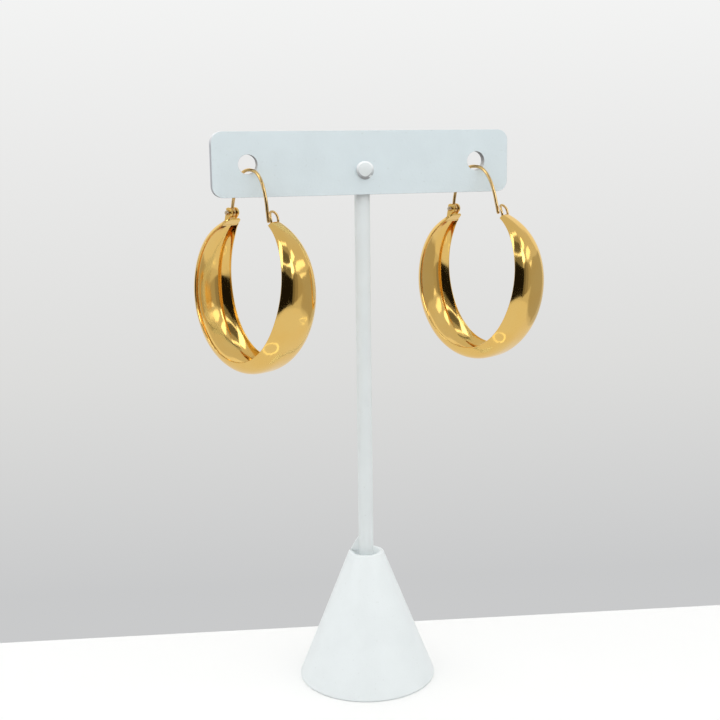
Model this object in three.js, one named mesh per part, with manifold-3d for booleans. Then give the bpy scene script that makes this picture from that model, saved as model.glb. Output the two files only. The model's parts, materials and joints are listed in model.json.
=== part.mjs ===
// A pair of hinged hoop earrings hanging from a small T-bar display stand.
// Millimetres, +Z up. The origin is the centre of the stand's flat bottom, the bar runs along X
// and its front face looks along -Y.

import * as THREE from 'three';
import { mergeVertices } from 'three/addons/utils/BufferGeometryUtils.js';
import Module from 'manifold-3d';

const wasm = await Module();
wasm.setup();

const CLEARANCE = 0.3; // between two pieces that touch

// Stand base
const BASE_RADIUS = 17.8;
const BASE_HEIGHT = 34;
const BASE_TOP_RADIUS = 4.6;
const BASE_EDGE = 0.5; // rounding of the bottom edge
const LIP_WIDTH = 1.0; // ring around the socket in the base's top
const SOCKET_DEPTH = 7;
const COUNTERSINK_DEPTH = 1.3;

// Pole
const POLE_RADIUS = 1.92;
const POLE_TOP = 140; // height above the table
const POLE_SEAT = 0.6; // from the pole's axis to the flat that the bar sits on
const FIN_REACH = 4.3; // from the pole's axis to the fin's outer corner
const FIN_HEIGHT = 4.7;
const FIN_THICKNESS = 1.0;
const FIN_TURN = THREE.MathUtils.degToRad(150);

// Cross bar
const BAR_LENGTH = 76.2;
const BAR_HEIGHT = 15.5;
const BAR_THICKNESS = 2;
const BAR_CORNER = 2.7;
const BAR_CENTRE_DROP = 5.4; // from the pole's top to the bar's middle
const HOLE_RADIUS = 2.35;
const HOLE_FROM_END = 8.7; // from the bar's end to each hole's middle

// Rivet that holds the bar on the pole
const RIVET_SHANK_RADIUS = 1.0;
const RIVET_HEAD_RADIUS = 2.3;
const RIVET_HEAD_HEIGHT = 1.1;
const RIVET_TAIL_RADIUS = 1.7;
const RIVET_TAIL_HEIGHT = 0.7;
const RIVET_DROP = 1.9; // below the bar's middle

// Hoop: a domed strip bent into an oval, open towards the inside
const HOOP_HALF_WIDTH = 14.8; // of the oval of the rims
const HOOP_HALF_HEIGHT = 17.6;
const HOOP_FULLNESS = 0.13; // how much the top of the oval is widened
const STRIP_WIDTH = 12.3; // where the strip is widest
const STRIP_WALL = 0.4;
const DOME_SQUARENESS = 3; // 2 makes the section of the dome part of an ellipse, and more a squarer one
const DOME_CUT = THREE.MathUtils.degToRad(66); // each side of the crown, short of upright rims
const END_PLUG = 0.9; // length of the plug that closes each end
// Share of a half turn from the lowest point, share of the strip's width, height of the dome as
// a share of the strip's half width there
const STRIP_ALONG = [
  [-0.785, 0.43, 0.47],
  [-0.667, 0.76, 0.47],
  [-0.444, 0.98, 0.47],
  [-0.222, 1.0, 0.53],
  [0, 0.93, 0.6],
  [0.222, 1.0, 0.53],
  [0.444, 0.98, 0.47],
  [0.667, 0.76, 0.47],
  [0.867, 0.34, 0.47]
];

// Hinge of the ear wire
const PIN_RADIUS = 0.35;
const PIN_HEAD_RADIUS = 0.65;
const PIN_HEAD_HEIGHT = 0.6;
const PIN_PAST = 2.05; // beyond the end of the strip, along it
const PIN_OUT = 2.05; // outwards from the rims' oval
const LUG_RADIUS = 1.25;
const LUG_THICKNESS = 0.6;

// Ear wire
const WIRE_RADIUS = 0.36;
const EYE_WIDTH = 0.8; // along the pin
const EYE_WALL = 0.6;
const TIP_BACK = 2.1; // the tip stops this far short of the strip's end
const WIRE_RISE = 11.3; // from the pin to the top of the arch
const CROWN_SHARE = 0.445; // where along the reach the arch is highest
// Share of the reach, share of the rise
const WIRE_ALONG = [
  [0.0, 0.1],
  [0.004, 0.2],
  [0.022, 0.38],
  [0.06, 0.6],
  [0.13, 0.8],
  [0.23, 0.925],
  [0.34, 0.985],
  [CROWN_SHARE, 1.0],
  [0.55, 0.985],
  [0.665, 0.9],
  [0.775, 0.74],
  [0.875, 0.5],
  [0.95, 0.23],
  [1.0, 0.045]
];

// Catch: a loop of thin wire standing on the other end of the strip
const CATCH_WIRE_RADIUS = 0.3;
const CATCH_HALF_WIDTH = 1.1;
const CATCH_HEIGHT = 2.7;
const CATCH_LEAN = 1.3; // how far its top leans towards the wire

// How each earring hangs: turn about the vertical and tilt in its own plane, in degrees, how far
// its wire lies beside the hole's middle, as a share of the hole's radius, and before the bar's
// middle, as a share of the bar's thickness, and how much further its catch end is bent closed,
// as a share of a half turn
const HANG_GAP = 0.5; // between the wire and the hole's edge
const HANGS = [
  { side: 'left', end: -1, turn: 28, tilt: -9.5, drift: 0.1, forward: 0.6, close: 0.03 },
  { side: 'right', end: 1, turn: 26.5, tilt: -4.2, drift: 0.04, forward: 0.2, close: 0 }
];

// Fineness of the curves
const ROUND_STEPS = 40;
const SMALL_STEPS = 12;
const STRIP_STEPS = 44;
const DOME_STEPS = 12;

const barCentreZ = POLE_TOP - BAR_CENTRE_DROP;
const holeX = BAR_LENGTH / 2 - HOLE_FROM_END;
const barBack = -POLE_SEAT - CLEARANCE;
const barFront = barBack - BAR_THICKNESS;

const powderWhite = new THREE.MeshStandardMaterial({ color: 0xe9eef0, roughness: 0.55, metalness: 0.0 });
const brightWhite = new THREE.MeshStandardMaterial({ color: 0xf4f6f7, roughness: 0.5, metalness: 0.0 });
const polishedGold = new THREE.MeshStandardMaterial({ color: 0xe6b450, roughness: 0.12, metalness: 1.0 });
const wireGold = new THREE.MeshStandardMaterial({ color: 0xdfae4c, roughness: 0.2, metalness: 1.0 });

// Solids

function toSolid(geometry) {
  const bare = geometry.clone();
  bare.deleteAttribute('normal');
  bare.deleteAttribute('uv');
  const merged = mergeVertices(bare, 1e-4);
  return new wasm.Manifold(new wasm.Mesh({
    numProp: 3,
    vertProperties: new Float32Array(merged.attributes.position.array),
    triVerts: new Uint32Array(merged.index.array)
  }));
}

function toGeometry(solid) {
  const mesh = solid.getMesh();
  const geometry = new THREE.BufferGeometry();
  geometry.setAttribute('position', new THREE.BufferAttribute(new Float32Array(mesh.vertProperties), 3));
  geometry.setIndex(new THREE.BufferAttribute(new Uint32Array(mesh.triVerts), 1));
  geometry.computeVertexNormals();
  return geometry;
}

// Skin through closed outlines that all have the same number of points, with both ends closed
function loftGeometry(outlines) {
  const count = outlines[0].length;
  const last = (outlines.length - 1) * count;
  const index = [];
  for (let row = 0; row < outlines.length - 1; row++) {
    for (let i = 0; i < count; i++) {
      const a = row * count + i;
      const b = row * count + (i + 1) % count;
      index.push(a, b + count, b);
      index.push(a, a + count, b + count);
    }
  }
  for (let i = 0, j = count - 1; j - i > 1; i++, j--) {
    index.push(i, i + 1, j);
    index.push(last + i, last + j, last + i + 1);
    if (j - 1 > i + 1) {
      index.push(i + 1, j - 1, j);
      index.push(last + i + 1, last + j, last + j - 1);
    }
  }
  const geometry = new THREE.BufferGeometry().setFromPoints(outlines.flat());
  geometry.setIndex(index);
  return geometry;
}

function discShape(radius, steps) {
  const shape = new THREE.Shape();
  for (let i = 0; i < steps; i++) {
    const angle = (i / steps) * Math.PI * 2;
    const x = radius * Math.cos(angle);
    const y = radius * Math.sin(angle);
    if (i === 0) shape.moveTo(x, y);
    else shape.lineTo(x, y);
  }
  shape.closePath();
  return shape;
}

function roundHole(x, y, radius) {
  const hole = new THREE.Path();
  hole.absarc(x, y, radius, 0, Math.PI * 2, true);
  return hole;
}

function plateGeometry(shape, thickness, start = 0, steps = SMALL_STEPS) {
  const geometry = new THREE.ExtrudeGeometry(shape, { depth: thickness, bevelEnabled: false, curveSegments: steps });
  geometry.translate(0, 0, start);
  return geometry;
}

function tubeGeometry(points, radius, steps) {
  const curve = new THREE.CatmullRomCurve3(points, false, 'centripetal');
  return new THREE.ExtrudeGeometry(discShape(radius, 10), { steps, extrudePath: curve, bevelEnabled: false });
}

// Hoop, in its own plane: x across, y up, z along the pin

function rimPoint(turn) {
  const low = (1 + Math.cos(turn)) / 2;
  const x = HOOP_HALF_WIDTH * Math.sin(turn) * (1 + HOOP_FULLNESS * (1 - low) ** 2);
  return new THREE.Vector2(x, -HOOP_HALF_HEIGHT * Math.cos(turn));
}

function outward(turn) {
  const step = 0.001;
  const along = rimPoint(turn + step).sub(rimPoint(turn - step)).normalize();
  return new THREE.Vector2(along.y, -along.x);
}

function stripCurve(close) {
  const last = STRIP_ALONG.length - 1;
  const points = STRIP_ALONG.map(([share, width, dome], i) => {
    const further = i === last ? close : 0;
    return new THREE.Vector3((share + further) * Math.PI, width, dome);
  });
  return new THREE.CatmullRomCurve3(points, false, 'centripetal');
}

function stripAt(curve, share) {
  const { x: turn, y: width, z: dome } = curve.getPoint(share);
  const halfWidth = width * STRIP_WIDTH / 2;
  return { turn, halfWidth, height: halfWidth * dome };
}

// The two ends of a strip and the pin's centre beyond the first
function stripEnds(curve) {
  const { turn: hingeTurn, height: domeHeight } = stripAt(curve, 0);
  const catchTurn = stripAt(curve, 1).turn;
  const hingeOut = outward(hingeTurn);
  const hinge = rimPoint(hingeTurn);
  const pin = hinge.clone()
    .addScaledVector(hingeOut, PIN_OUT)
    .add(new THREE.Vector2(hingeOut.y, -hingeOut.x).multiplyScalar(PIN_PAST));
  return { hinge, hingeOut, pin, domeHeight, catchOut: outward(catchTurn), catchAt: rimPoint(catchTurn) };
}

function squared(value) {
  return Math.sign(value) * Math.abs(value) ** (2 / DOME_SQUARENESS);
}

// One side of the strip's section, from rim to rim
function domeArc(turn, halfWidth, height, lift) {
  const centre = rimPoint(turn);
  const out = outward(turn);
  const low = squared(Math.cos(DOME_CUT));
  const wide = squared(Math.sin(DOME_CUT));
  const arc = [];
  for (let i = 0; i <= DOME_STEPS; i++) {
    const angle = DOME_CUT * (2 * i / DOME_STEPS - 1);
    const rise = lift + height * (squared(Math.cos(angle)) - low) / (1 - low);
    const across = halfWidth * squared(Math.sin(angle)) / wide;
    arc.push(new THREE.Vector3(centre.x + out.x * rise, centre.y + out.y * rise, across));
  }
  return arc;
}

function shellGeometry(curve) {
  const outlines = [];
  for (let i = 0; i <= STRIP_STEPS; i++) {
    const { turn, halfWidth, height } = stripAt(curve, i / STRIP_STEPS);
    const outer = domeArc(turn, halfWidth, height, 0);
    const inner = domeArc(turn, halfWidth - STRIP_WALL, height - STRIP_WALL, 0);
    outlines.push([...outer, ...inner.reverse()]);
  }
  return loftGeometry(outlines);
}

function plugGeometry(curve, from, to) {
  const outlines = [from, to].map((share) => {
    const { turn, halfWidth, height } = stripAt(curve, share);
    const inset = STRIP_WALL / 2;
    const lift = inset / 2;
    return domeArc(turn, halfWidth - inset, height - inset - lift, lift);
  });
  return loftGeometry(outlines);
}

const eyeHole = PIN_RADIUS + CLEARANCE;
const lugStart = EYE_WIDTH / 2 + CLEARANCE;

// Drawn with the strip's end at the origin and the strip's direction upwards, then turned
function lugGeometry({ hinge, hingeOut, domeHeight }, start) {
  const depth = END_PLUG / 2;
  const shape = new THREE.Shape();
  shape.absarc(-PIN_OUT, PIN_PAST, LUG_RADIUS, 0, Math.PI, false);
  shape.lineTo(-domeHeight + STRIP_WALL, -depth);
  shape.lineTo(-STRIP_WALL / 2, -depth);
  shape.closePath();
  shape.holes.push(roundHole(-PIN_OUT, PIN_PAST, eyeHole));
  const geometry = plateGeometry(shape, LUG_THICKNESS, start);
  geometry.rotateZ(Math.atan2(-hingeOut.y, -hingeOut.x));
  geometry.translate(hinge.x, hinge.y, 0);
  return geometry;
}

function catchGeometry({ catchAt, catchOut }) {
  const root = catchAt.clone().addScaledVector(catchOut, CATCH_WIRE_RADIUS);
  const at = (height, side) => new THREE.Vector3(
    root.x - CATCH_LEAN * height ** 2,
    root.y + CATCH_HEIGHT * height,
    CATCH_HALF_WIDTH * side
  );
  const sides = [[-0.12, -0.8], [0.25, -1], [0.7, -0.95], [0.95, -0.5], [1, 0]];
  const points = sides.map(([height, side]) => at(height, side));
  const back = sides.slice(0, -1).reverse().map(([height, side]) => at(height, -side));
  return tubeGeometry([...points, ...back], CATCH_WIRE_RADIUS, 20);
}

function hoopGeometry(curve, ends) {
  const plugShare = END_PLUG / (Math.PI * HOOP_HALF_HEIGHT * 2);
  const past = plugShare / 6;
  return toGeometry(
    toSolid(shellGeometry(curve))
      .add(toSolid(plugGeometry(curve, past, plugShare)))
      .add(toSolid(plugGeometry(curve, 1 - plugShare, 1 - past)))
      .add(toSolid(lugGeometry(ends, lugStart)))
      .add(toSolid(lugGeometry(ends, -lugStart - LUG_THICKNESS)))
      .add(toSolid(catchGeometry(ends)))
  );
}

// Ear wire and pin, with the pin's centre at their origin

function wireGeometry(reach) {
  const points = WIRE_ALONG.map(([along, up]) => new THREE.Vector3(along * reach, up * WIRE_RISE, 0));
  const eye = discShape(eyeHole + EYE_WALL, SMALL_STEPS * 2);
  eye.holes.push(roundHole(0, 0, eyeHole));
  const tube = toSolid(tubeGeometry(points, WIRE_RADIUS, 48));
  return toGeometry(tube.add(toSolid(plateGeometry(eye, EYE_WIDTH, -EYE_WIDTH / 2))));
}

function pinGeometry() {
  const half = lugStart + LUG_THICKNESS + CLEARANCE;
  const profile = [
    new THREE.Vector2(0, -half),
    new THREE.Vector2(PIN_RADIUS, -half),
    new THREE.Vector2(PIN_RADIUS, half),
    new THREE.Vector2(PIN_HEAD_RADIUS, half),
    new THREE.Vector2(PIN_HEAD_RADIUS, half + PIN_HEAD_HEIGHT * 0.5),
    new THREE.Vector2(PIN_HEAD_RADIUS * 0.6, half + PIN_HEAD_HEIGHT * 0.9),
    new THREE.Vector2(0, half + PIN_HEAD_HEIGHT)
  ];
  const geometry = new THREE.LatheGeometry(profile, SMALL_STEPS);
  geometry.rotateX(Math.PI / 2);
  return geometry;
}

// Stand

function baseGeometry() {
  const socket = POLE_RADIUS + CLEARANCE;
  const profile = [
    new THREE.Vector2(0, 0),
    new THREE.Vector2(BASE_RADIUS - BASE_EDGE, 0),
    new THREE.Vector2(BASE_RADIUS, BASE_EDGE),
    new THREE.Vector2(BASE_TOP_RADIUS, BASE_HEIGHT),
    new THREE.Vector2(BASE_TOP_RADIUS - LIP_WIDTH, BASE_HEIGHT),
    new THREE.Vector2(socket, BASE_HEIGHT - COUNTERSINK_DEPTH),
    new THREE.Vector2(socket, BASE_HEIGHT - SOCKET_DEPTH),
    new THREE.Vector2(0, BASE_HEIGHT - SOCKET_DEPTH)
  ];
  return new THREE.LatheGeometry(profile, ROUND_STEPS);
}

const rivetZ = barCentreZ - RIVET_DROP;
const rivetHole = RIVET_SHANK_RADIUS + CLEARANCE;

function poleGeometry() {
  const bottom = BASE_HEIGHT - SOCKET_DEPTH + CLEARANCE;
  const seatFrom = barCentreZ - BAR_HEIGHT / 2 - CLEARANCE;
  const rod = new THREE.CylinderGeometry(POLE_RADIUS, POLE_RADIUS, POLE_TOP - bottom, SMALL_STEPS * 2);
  rod.rotateX(Math.PI / 2);
  rod.translate(0, 0, (POLE_TOP + bottom) / 2);
  const notch = new THREE.BoxGeometry(POLE_RADIUS * 3, POLE_RADIUS * 2, POLE_TOP);
  notch.translate(0, -POLE_SEAT - POLE_RADIUS, seatFrom + POLE_TOP / 2);
  const drill = new THREE.CylinderGeometry(rivetHole, rivetHole, POLE_RADIUS * 3, SMALL_STEPS);
  drill.translate(0, 0, rivetZ);
  const triangle = new THREE.Shape();
  triangle.moveTo(POLE_RADIUS / 2, 0);
  triangle.lineTo(FIN_REACH, 0);
  triangle.lineTo(POLE_RADIUS / 2, FIN_HEIGHT * (FIN_REACH - POLE_RADIUS / 2) / (FIN_REACH - POLE_RADIUS));
  triangle.closePath();
  const fin = plateGeometry(triangle, FIN_THICKNESS, -FIN_THICKNESS / 2);
  fin.rotateX(Math.PI / 2);
  fin.rotateZ(FIN_TURN);
  fin.translate(0, 0, BASE_HEIGHT + CLEARANCE);
  return toGeometry(toSolid(rod).add(toSolid(fin)).subtract(toSolid(notch)).subtract(toSolid(drill)));
}

function barGeometry() {
  const x = BAR_LENGTH / 2;
  const y = BAR_HEIGHT / 2;
  const r = BAR_CORNER;
  const shape = new THREE.Shape();
  shape.moveTo(-x + r, -y);
  shape.lineTo(x - r, -y);
  shape.absarc(x - r, -y + r, r, -Math.PI / 2, 0, false);
  shape.lineTo(x, y - r);
  shape.absarc(x - r, y - r, r, 0, Math.PI / 2, false);
  shape.lineTo(-x + r, y);
  shape.absarc(-x + r, y - r, r, Math.PI / 2, Math.PI, false);
  shape.lineTo(-x, -y + r);
  shape.absarc(-x + r, -y + r, r, Math.PI, Math.PI * 1.5, false);
  shape.holes.push(roundHole(-holeX, 0, HOLE_RADIUS));
  shape.holes.push(roundHole(holeX, 0, HOLE_RADIUS));
  shape.holes.push(roundHole(0, -RIVET_DROP, rivetHole));
  return plateGeometry(shape, BAR_THICKNESS, 0, SMALL_STEPS);
}

function rivetGeometry() {
  const tail = POLE_RADIUS + CLEARANCE;
  const head = -barFront + CLEARANCE;
  const profile = [
    new THREE.Vector2(0, -tail - RIVET_TAIL_HEIGHT),
    new THREE.Vector2(RIVET_TAIL_RADIUS * 0.8, -tail - RIVET_TAIL_HEIGHT),
    new THREE.Vector2(RIVET_TAIL_RADIUS, -tail),
    new THREE.Vector2(RIVET_SHANK_RADIUS, -tail),
    new THREE.Vector2(RIVET_SHANK_RADIUS, head),
    new THREE.Vector2(RIVET_HEAD_RADIUS, head),
    new THREE.Vector2(RIVET_HEAD_RADIUS * 0.96, head + RIVET_HEAD_HEIGHT * 0.45),
    new THREE.Vector2(RIVET_HEAD_RADIUS * 0.6, head + RIVET_HEAD_HEIGHT * 0.9),
    new THREE.Vector2(0, head + RIVET_HEAD_HEIGHT)
  ];
  return new THREE.LatheGeometry(profile, SMALL_STEPS * 2);
}

// Scene graph

function piece(name, geometry, material) {
  const mesh = new THREE.Mesh(geometry, material);
  mesh.name = name;
  return mesh;
}

const set = new THREE.Group();

const base = piece('stand_cone', baseGeometry(), powderWhite);
base.rotation.x = Math.PI / 2;
set.add(base);

set.add(piece('stand_pole', poleGeometry(), powderWhite));

const bar = piece('cross_bar', barGeometry(), powderWhite);
bar.position.set(0, barBack, barCentreZ);
bar.rotation.x = Math.PI / 2;
set.add(bar);

const rivet = piece('bar_rivet', rivetGeometry(), brightWhite);
rivet.position.z = rivetZ;
rivet.rotation.x = Math.PI;
set.add(rivet);

const pinShape = pinGeometry();

for (const { side, end, turn, tilt, drift, forward, close } of HANGS) {
  const curve = stripCurve(close);
  const ends = stripEnds(curve);
  const reach = ends.catchAt.x - TIP_BACK - ends.pin.x;
  const crown = new THREE.Vector2(ends.pin.x + CROWN_SHARE * reach, ends.pin.y + WIRE_RISE);
  const turned = THREE.MathUtils.degToRad(turn);
  const tilted = THREE.MathUtils.degToRad(tilt);
  // The arch rests over the lower edge of the hole
  const beside = drift * HOLE_RADIUS;
  const before = forward * BAR_THICKNESS;
  const aside = Math.abs(beside) + BAR_THICKNESS / 2 * Math.tan(turned);
  const edgeZ = barCentreZ - Math.sqrt(HOLE_RADIUS ** 2 - aside ** 2);
  const crownAt = new THREE.Vector3(
    end * holeX + beside + before * Math.tan(turned),
    (barBack + barFront) / 2 - before,
    edgeZ + HANG_GAP + WIRE_RADIUS
  );
  const crownTurned = crown.rotateAround(new THREE.Vector2(0, 0), tilted);

  const hang = new THREE.Group();
  hang.rotation.z = turned - Math.PI / 2;
  hang.position.set(
    crownAt.x - crownTurned.x * Math.sin(turned),
    crownAt.y + crownTurned.x * Math.cos(turned),
    crownAt.z - crownTurned.y
  );
  const upright = new THREE.Group();
  upright.rotation.x = Math.PI / 2;
  const plane = new THREE.Group();
  plane.rotation.z = tilted;

  const wire = piece(`${side}_ear_wire`, wireGeometry(reach), wireGold);
  const pin = piece(`${side}_hinge_pin`, pinShape, wireGold);
  wire.position.set(ends.pin.x, ends.pin.y, 0);
  pin.position.set(ends.pin.x, ends.pin.y, 0);
  plane.add(piece(`${side}_hoop`, hoopGeometry(curve, ends), polishedGold), wire, pin);
  upright.add(plane);
  hang.add(upright);
  set.add(hang);
}

export default set;
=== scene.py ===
import bmesh
import bpy
import json
import math
from mathutils import Matrix, Vector


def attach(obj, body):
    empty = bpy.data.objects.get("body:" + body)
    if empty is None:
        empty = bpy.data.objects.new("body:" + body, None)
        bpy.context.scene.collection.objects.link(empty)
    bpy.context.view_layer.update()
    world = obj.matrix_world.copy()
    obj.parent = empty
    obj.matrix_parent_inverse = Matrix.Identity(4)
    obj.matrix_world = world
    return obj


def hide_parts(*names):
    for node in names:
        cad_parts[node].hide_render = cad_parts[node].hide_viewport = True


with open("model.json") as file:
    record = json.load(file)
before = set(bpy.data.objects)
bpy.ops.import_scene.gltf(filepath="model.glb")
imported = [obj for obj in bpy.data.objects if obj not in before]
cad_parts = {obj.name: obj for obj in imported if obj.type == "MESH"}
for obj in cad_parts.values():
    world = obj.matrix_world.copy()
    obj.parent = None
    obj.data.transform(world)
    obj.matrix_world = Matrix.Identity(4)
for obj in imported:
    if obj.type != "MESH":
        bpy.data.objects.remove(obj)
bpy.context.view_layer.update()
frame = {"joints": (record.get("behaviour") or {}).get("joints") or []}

MM = 0.001
STAND = "stand_and_hoops"
HINGES = {joint["child"]: joint for joint in frame["joints"]}

# Stand sizes
BASE_RADIUS = 17.8 * MM
BASE_HEIGHT = 34 * MM
BASE_TOP_RADIUS = 4.6 * MM
LIP_WIDTH = 1.0 * MM
SOCKET_DEPTH = 1.3 * MM
POLE_RADIUS = 1.92 * MM
POLE_TOP = 140 * MM
POLE_SEAT = 0.6 * MM
FIN_REACH = 4.3 * MM
FIN_HEIGHT = 4.7 * MM
FIN_THICKNESS = 0.9 * MM
FIN_TURN = math.radians(150)
BAR_LENGTH = 76.2 * MM
BAR_HEIGHT = 15.5 * MM
BAR_THICKNESS = 2 * MM
BAR_CORNER = 2.7 * MM
BAR_BACK = -0.9 * MM
BAR_Z = 134.6 * MM
HOLE_RADIUS = 2.35 * MM
HOLE_X = 29.4 * MM
RIVET_Z = 132.7 * MM
RIVET_RADIUS = 2.3 * MM
FOOT_ROUNDING = 0.5 * MM

# Rivet in mm: radius and place along the shank, from the tail behind the pole to the head in front
RIVET_OUTLINE = [(0, 2.85), (1.35, 2.85), (1.7, 2.3), (1.7, 1.9), (1.0, 1.9), (1.0, -2.6), (2.3, -2.85),
                 (2.22, -3.5), (1.75, -3.95), (0.9, -4.15), (0, -4.2)]
HEAD_NARROWING = 0.4
HEAD_FLATTENING = 0.1
HEAD_ASIDE = 0.4 * MM
HEAD_LIFT = 0.3 * MM

# Earring sizes
OVAL_HALF_WIDTH = 14.8 * MM
OVAL_HALF_HEIGHT = 17.6 * MM
OVAL_FULLNESS = 0.13
STRIP_HALF_WIDTH = 6.15 * MM
STRIP_WALL = 0.4 * MM
DOME_SQUARENESS = 3
DOME_CUT = math.radians(61)
CROWN_CROWDING = 1.4
# Along the strip: share of a half turn from the lowest point, share of the strip's width, and
# the height of the dome over its half width
STRIP_ALONG = [(-0.785, 0.43, 0.47), (-0.667, 0.76, 0.47), (-0.444, 0.98, 0.47), (-0.222, 1.0, 0.53),
               (0, 0.93, 0.6),
               (0.222, 1.0, 0.53), (0.444, 0.98, 0.47), (0.667, 0.76, 0.47), (0.867, 0.34, 0.47)]
PIN_PAST = 2.05 * MM
PIN_OUT = 2.05 * MM
PIN_RADIUS = 0.35 * MM
LUG_RADIUS = 1.25 * MM
LUG_THICKNESS = 0.6 * MM
LUG_START = 0.7 * MM
LUG_FOOT_DEPTH = 0.45 * MM
LUG_FOOT_INSET = 0.2 * MM
LUG_FOOT_INSIDE = 0.3 * MM
TAB_THICKNESS = 0.5 * MM
PLATE_THICKNESS = 0.5 * MM
PLATE_SET_BACK = 0.3 * MM
PLATE_INSET = 0.15 * MM
EYE_RADIUS = 0.82 * MM
WIRE_RADIUS = 0.4 * MM
WIRE_RISE = 11.3 * MM
TIP_BACK = 2.1 * MM

# Ear wire: share of its reach and share of its rise, from the hinge to the tip
WIRE_ALONG = [(0.0, 0.1), (0.004, 0.2), (0.022, 0.38), (0.06, 0.6), (0.13, 0.8), (0.23, 0.925),
              (0.34, 0.985), (0.445, 1.0), (0.55, 0.985), (0.665, 0.9), (0.775, 0.74), (0.875, 0.5),
              (0.95, 0.23), (1.0, 0.045)]

# Hinge tab: distance past the strip's end in mm and share of the strip's half width
TAB_OUTLINE = [(-0.3, 0.97), (0.9, 0.86), (1.6, 0.76), (2.0, 0.6)]

# Ends of the hinge pin in mm: radius and distance past the lugs
PIN_TAIL = [(0, 0.3), (0.4, 0.25), (0.5, 0)]
PIN_HEAD = [(0.62, 0), (0.62, 0.35), (0.42, 0.75), (0, 0.88)]

# Catch loop: share of its height and share of its half width
CATCH_ALONG = [(-0.12, -0.8), (0.25, -1), (0.7, -0.95), (0.95, -0.5), (1, 0),
               (0.95, 0.5), (0.7, 0.95), (0.25, 1), (-0.12, 0.8)]
CATCH_WIRE_RADIUS = 0.3 * MM
CATCH_HALF_WIDTH = 1.1 * MM
CATCH_HEIGHT = 2.7 * MM
CATCH_LEAN = 1.3 * MM

# Tilt of each hoop in its own plane and how much further its catch end is bent closed
HANGS = {"left": (math.radians(-9.5), 0.03), "right": (math.radians(-4.2), 0.0)}


# Camera
CAMERA_TURN = math.radians(-18.4)
CAMERA_RISE = math.radians(10.55)
CAMERA_ROLL = math.radians(-0.667)
CAMERA_DISTANCE = 295.05 * MM
CAMERA_AIM_HEIGHT = 84.95 * MM
CAMERA_LENS = 57.88
CAMERA_SENSOR = 36
CAMERA_SHIFT = -0.0055
NEAREST_SEEN = 0.01


def aim_camera():
    """The camera stands left of the stand and a little above the earrings."""
    back = Vector((math.sin(CAMERA_TURN) * math.cos(CAMERA_RISE),
                   -math.cos(CAMERA_TURN) * math.cos(CAMERA_RISE),
                   math.sin(CAMERA_RISE)))
    right = Vector((0, 0, 1)).cross(back).normalized()
    up = back.cross(right)
    right_rolled = right * math.cos(CAMERA_ROLL) + up * math.sin(CAMERA_ROLL)
    up_rolled = up * math.cos(CAMERA_ROLL) - right * math.sin(CAMERA_ROLL)
    data = bpy.data.cameras.new("view")
    data.lens = CAMERA_LENS
    data.sensor_width = CAMERA_SENSOR
    data.shift_x = CAMERA_SHIFT
    data.clip_start = NEAREST_SEEN
    camera = bpy.data.objects.new("view", data)
    bpy.context.scene.collection.objects.link(camera)
    place = Matrix((right_rolled, up_rolled, back)).transposed().to_4x4()
    place.translation = Vector((0, 0, CAMERA_AIM_HEIGHT)) + back * CAMERA_DISTANCE
    camera.matrix_world = place
    bpy.context.scene.camera = camera


aim_camera()


# Materials

def new_material(name, colour, roughness, metallic=0.0):
    """A material with its node tree and its shader."""
    material = bpy.data.materials.new(name)
    material.use_nodes = True
    shader = material.node_tree.nodes["Principled BSDF"]
    shader.inputs["Base Color"].default_value = (*colour, 1)
    shader.inputs["Roughness"].default_value = roughness
    shader.inputs["Metallic"].default_value = metallic
    return material, material.node_tree, shader


def noise(tree, scale, detail=3.0, stretch=(1, 1, 1)):
    """Random grain fixed to the piece."""
    place = tree.nodes.new("ShaderNodeTexCoord")
    mapping = tree.nodes.new("ShaderNodeMapping")
    mapping.inputs["Scale"].default_value = stretch
    texture = tree.nodes.new("ShaderNodeTexNoise")
    texture.inputs["Scale"].default_value = scale
    texture.inputs["Detail"].default_value = detail
    tree.links.new(place.outputs["Object"], mapping.inputs["Vector"])
    tree.links.new(mapping.outputs["Vector"], texture.inputs["Vector"])
    return texture.outputs["Fac"]


def ramp(tree, source, stops):
    """Turns a value into a colour, by stops of (value, colour)."""
    node = tree.nodes.new("ShaderNodeValToRGB")
    elements = node.color_ramp.elements
    while len(elements) < len(stops):
        elements.new(0.5)
    for element, (position, colour) in zip(elements, stops):
        element.position = position
        element.color = (*colour, 1)
    tree.links.new(source, node.inputs["Fac"])
    return node.outputs["Color"]


def bump(tree, shader, heights):
    """Adds up several reliefs, each a height source with its depth and its strength."""
    last = None
    for source, depth, strength in heights:
        node = tree.nodes.new("ShaderNodeBump")
        node.inputs["Distance"].default_value = depth
        node.inputs["Strength"].default_value = strength
        tree.links.new(source, node.inputs["Height"])
        if last:
            tree.links.new(last, node.inputs["Normal"])
        last = node.outputs["Normal"]
    tree.links.new(last, shader.inputs["Normal"])


def shaded(colour, amount):
    """The colour made darker or lighter."""
    return tuple(part * amount for part in colour)


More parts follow.
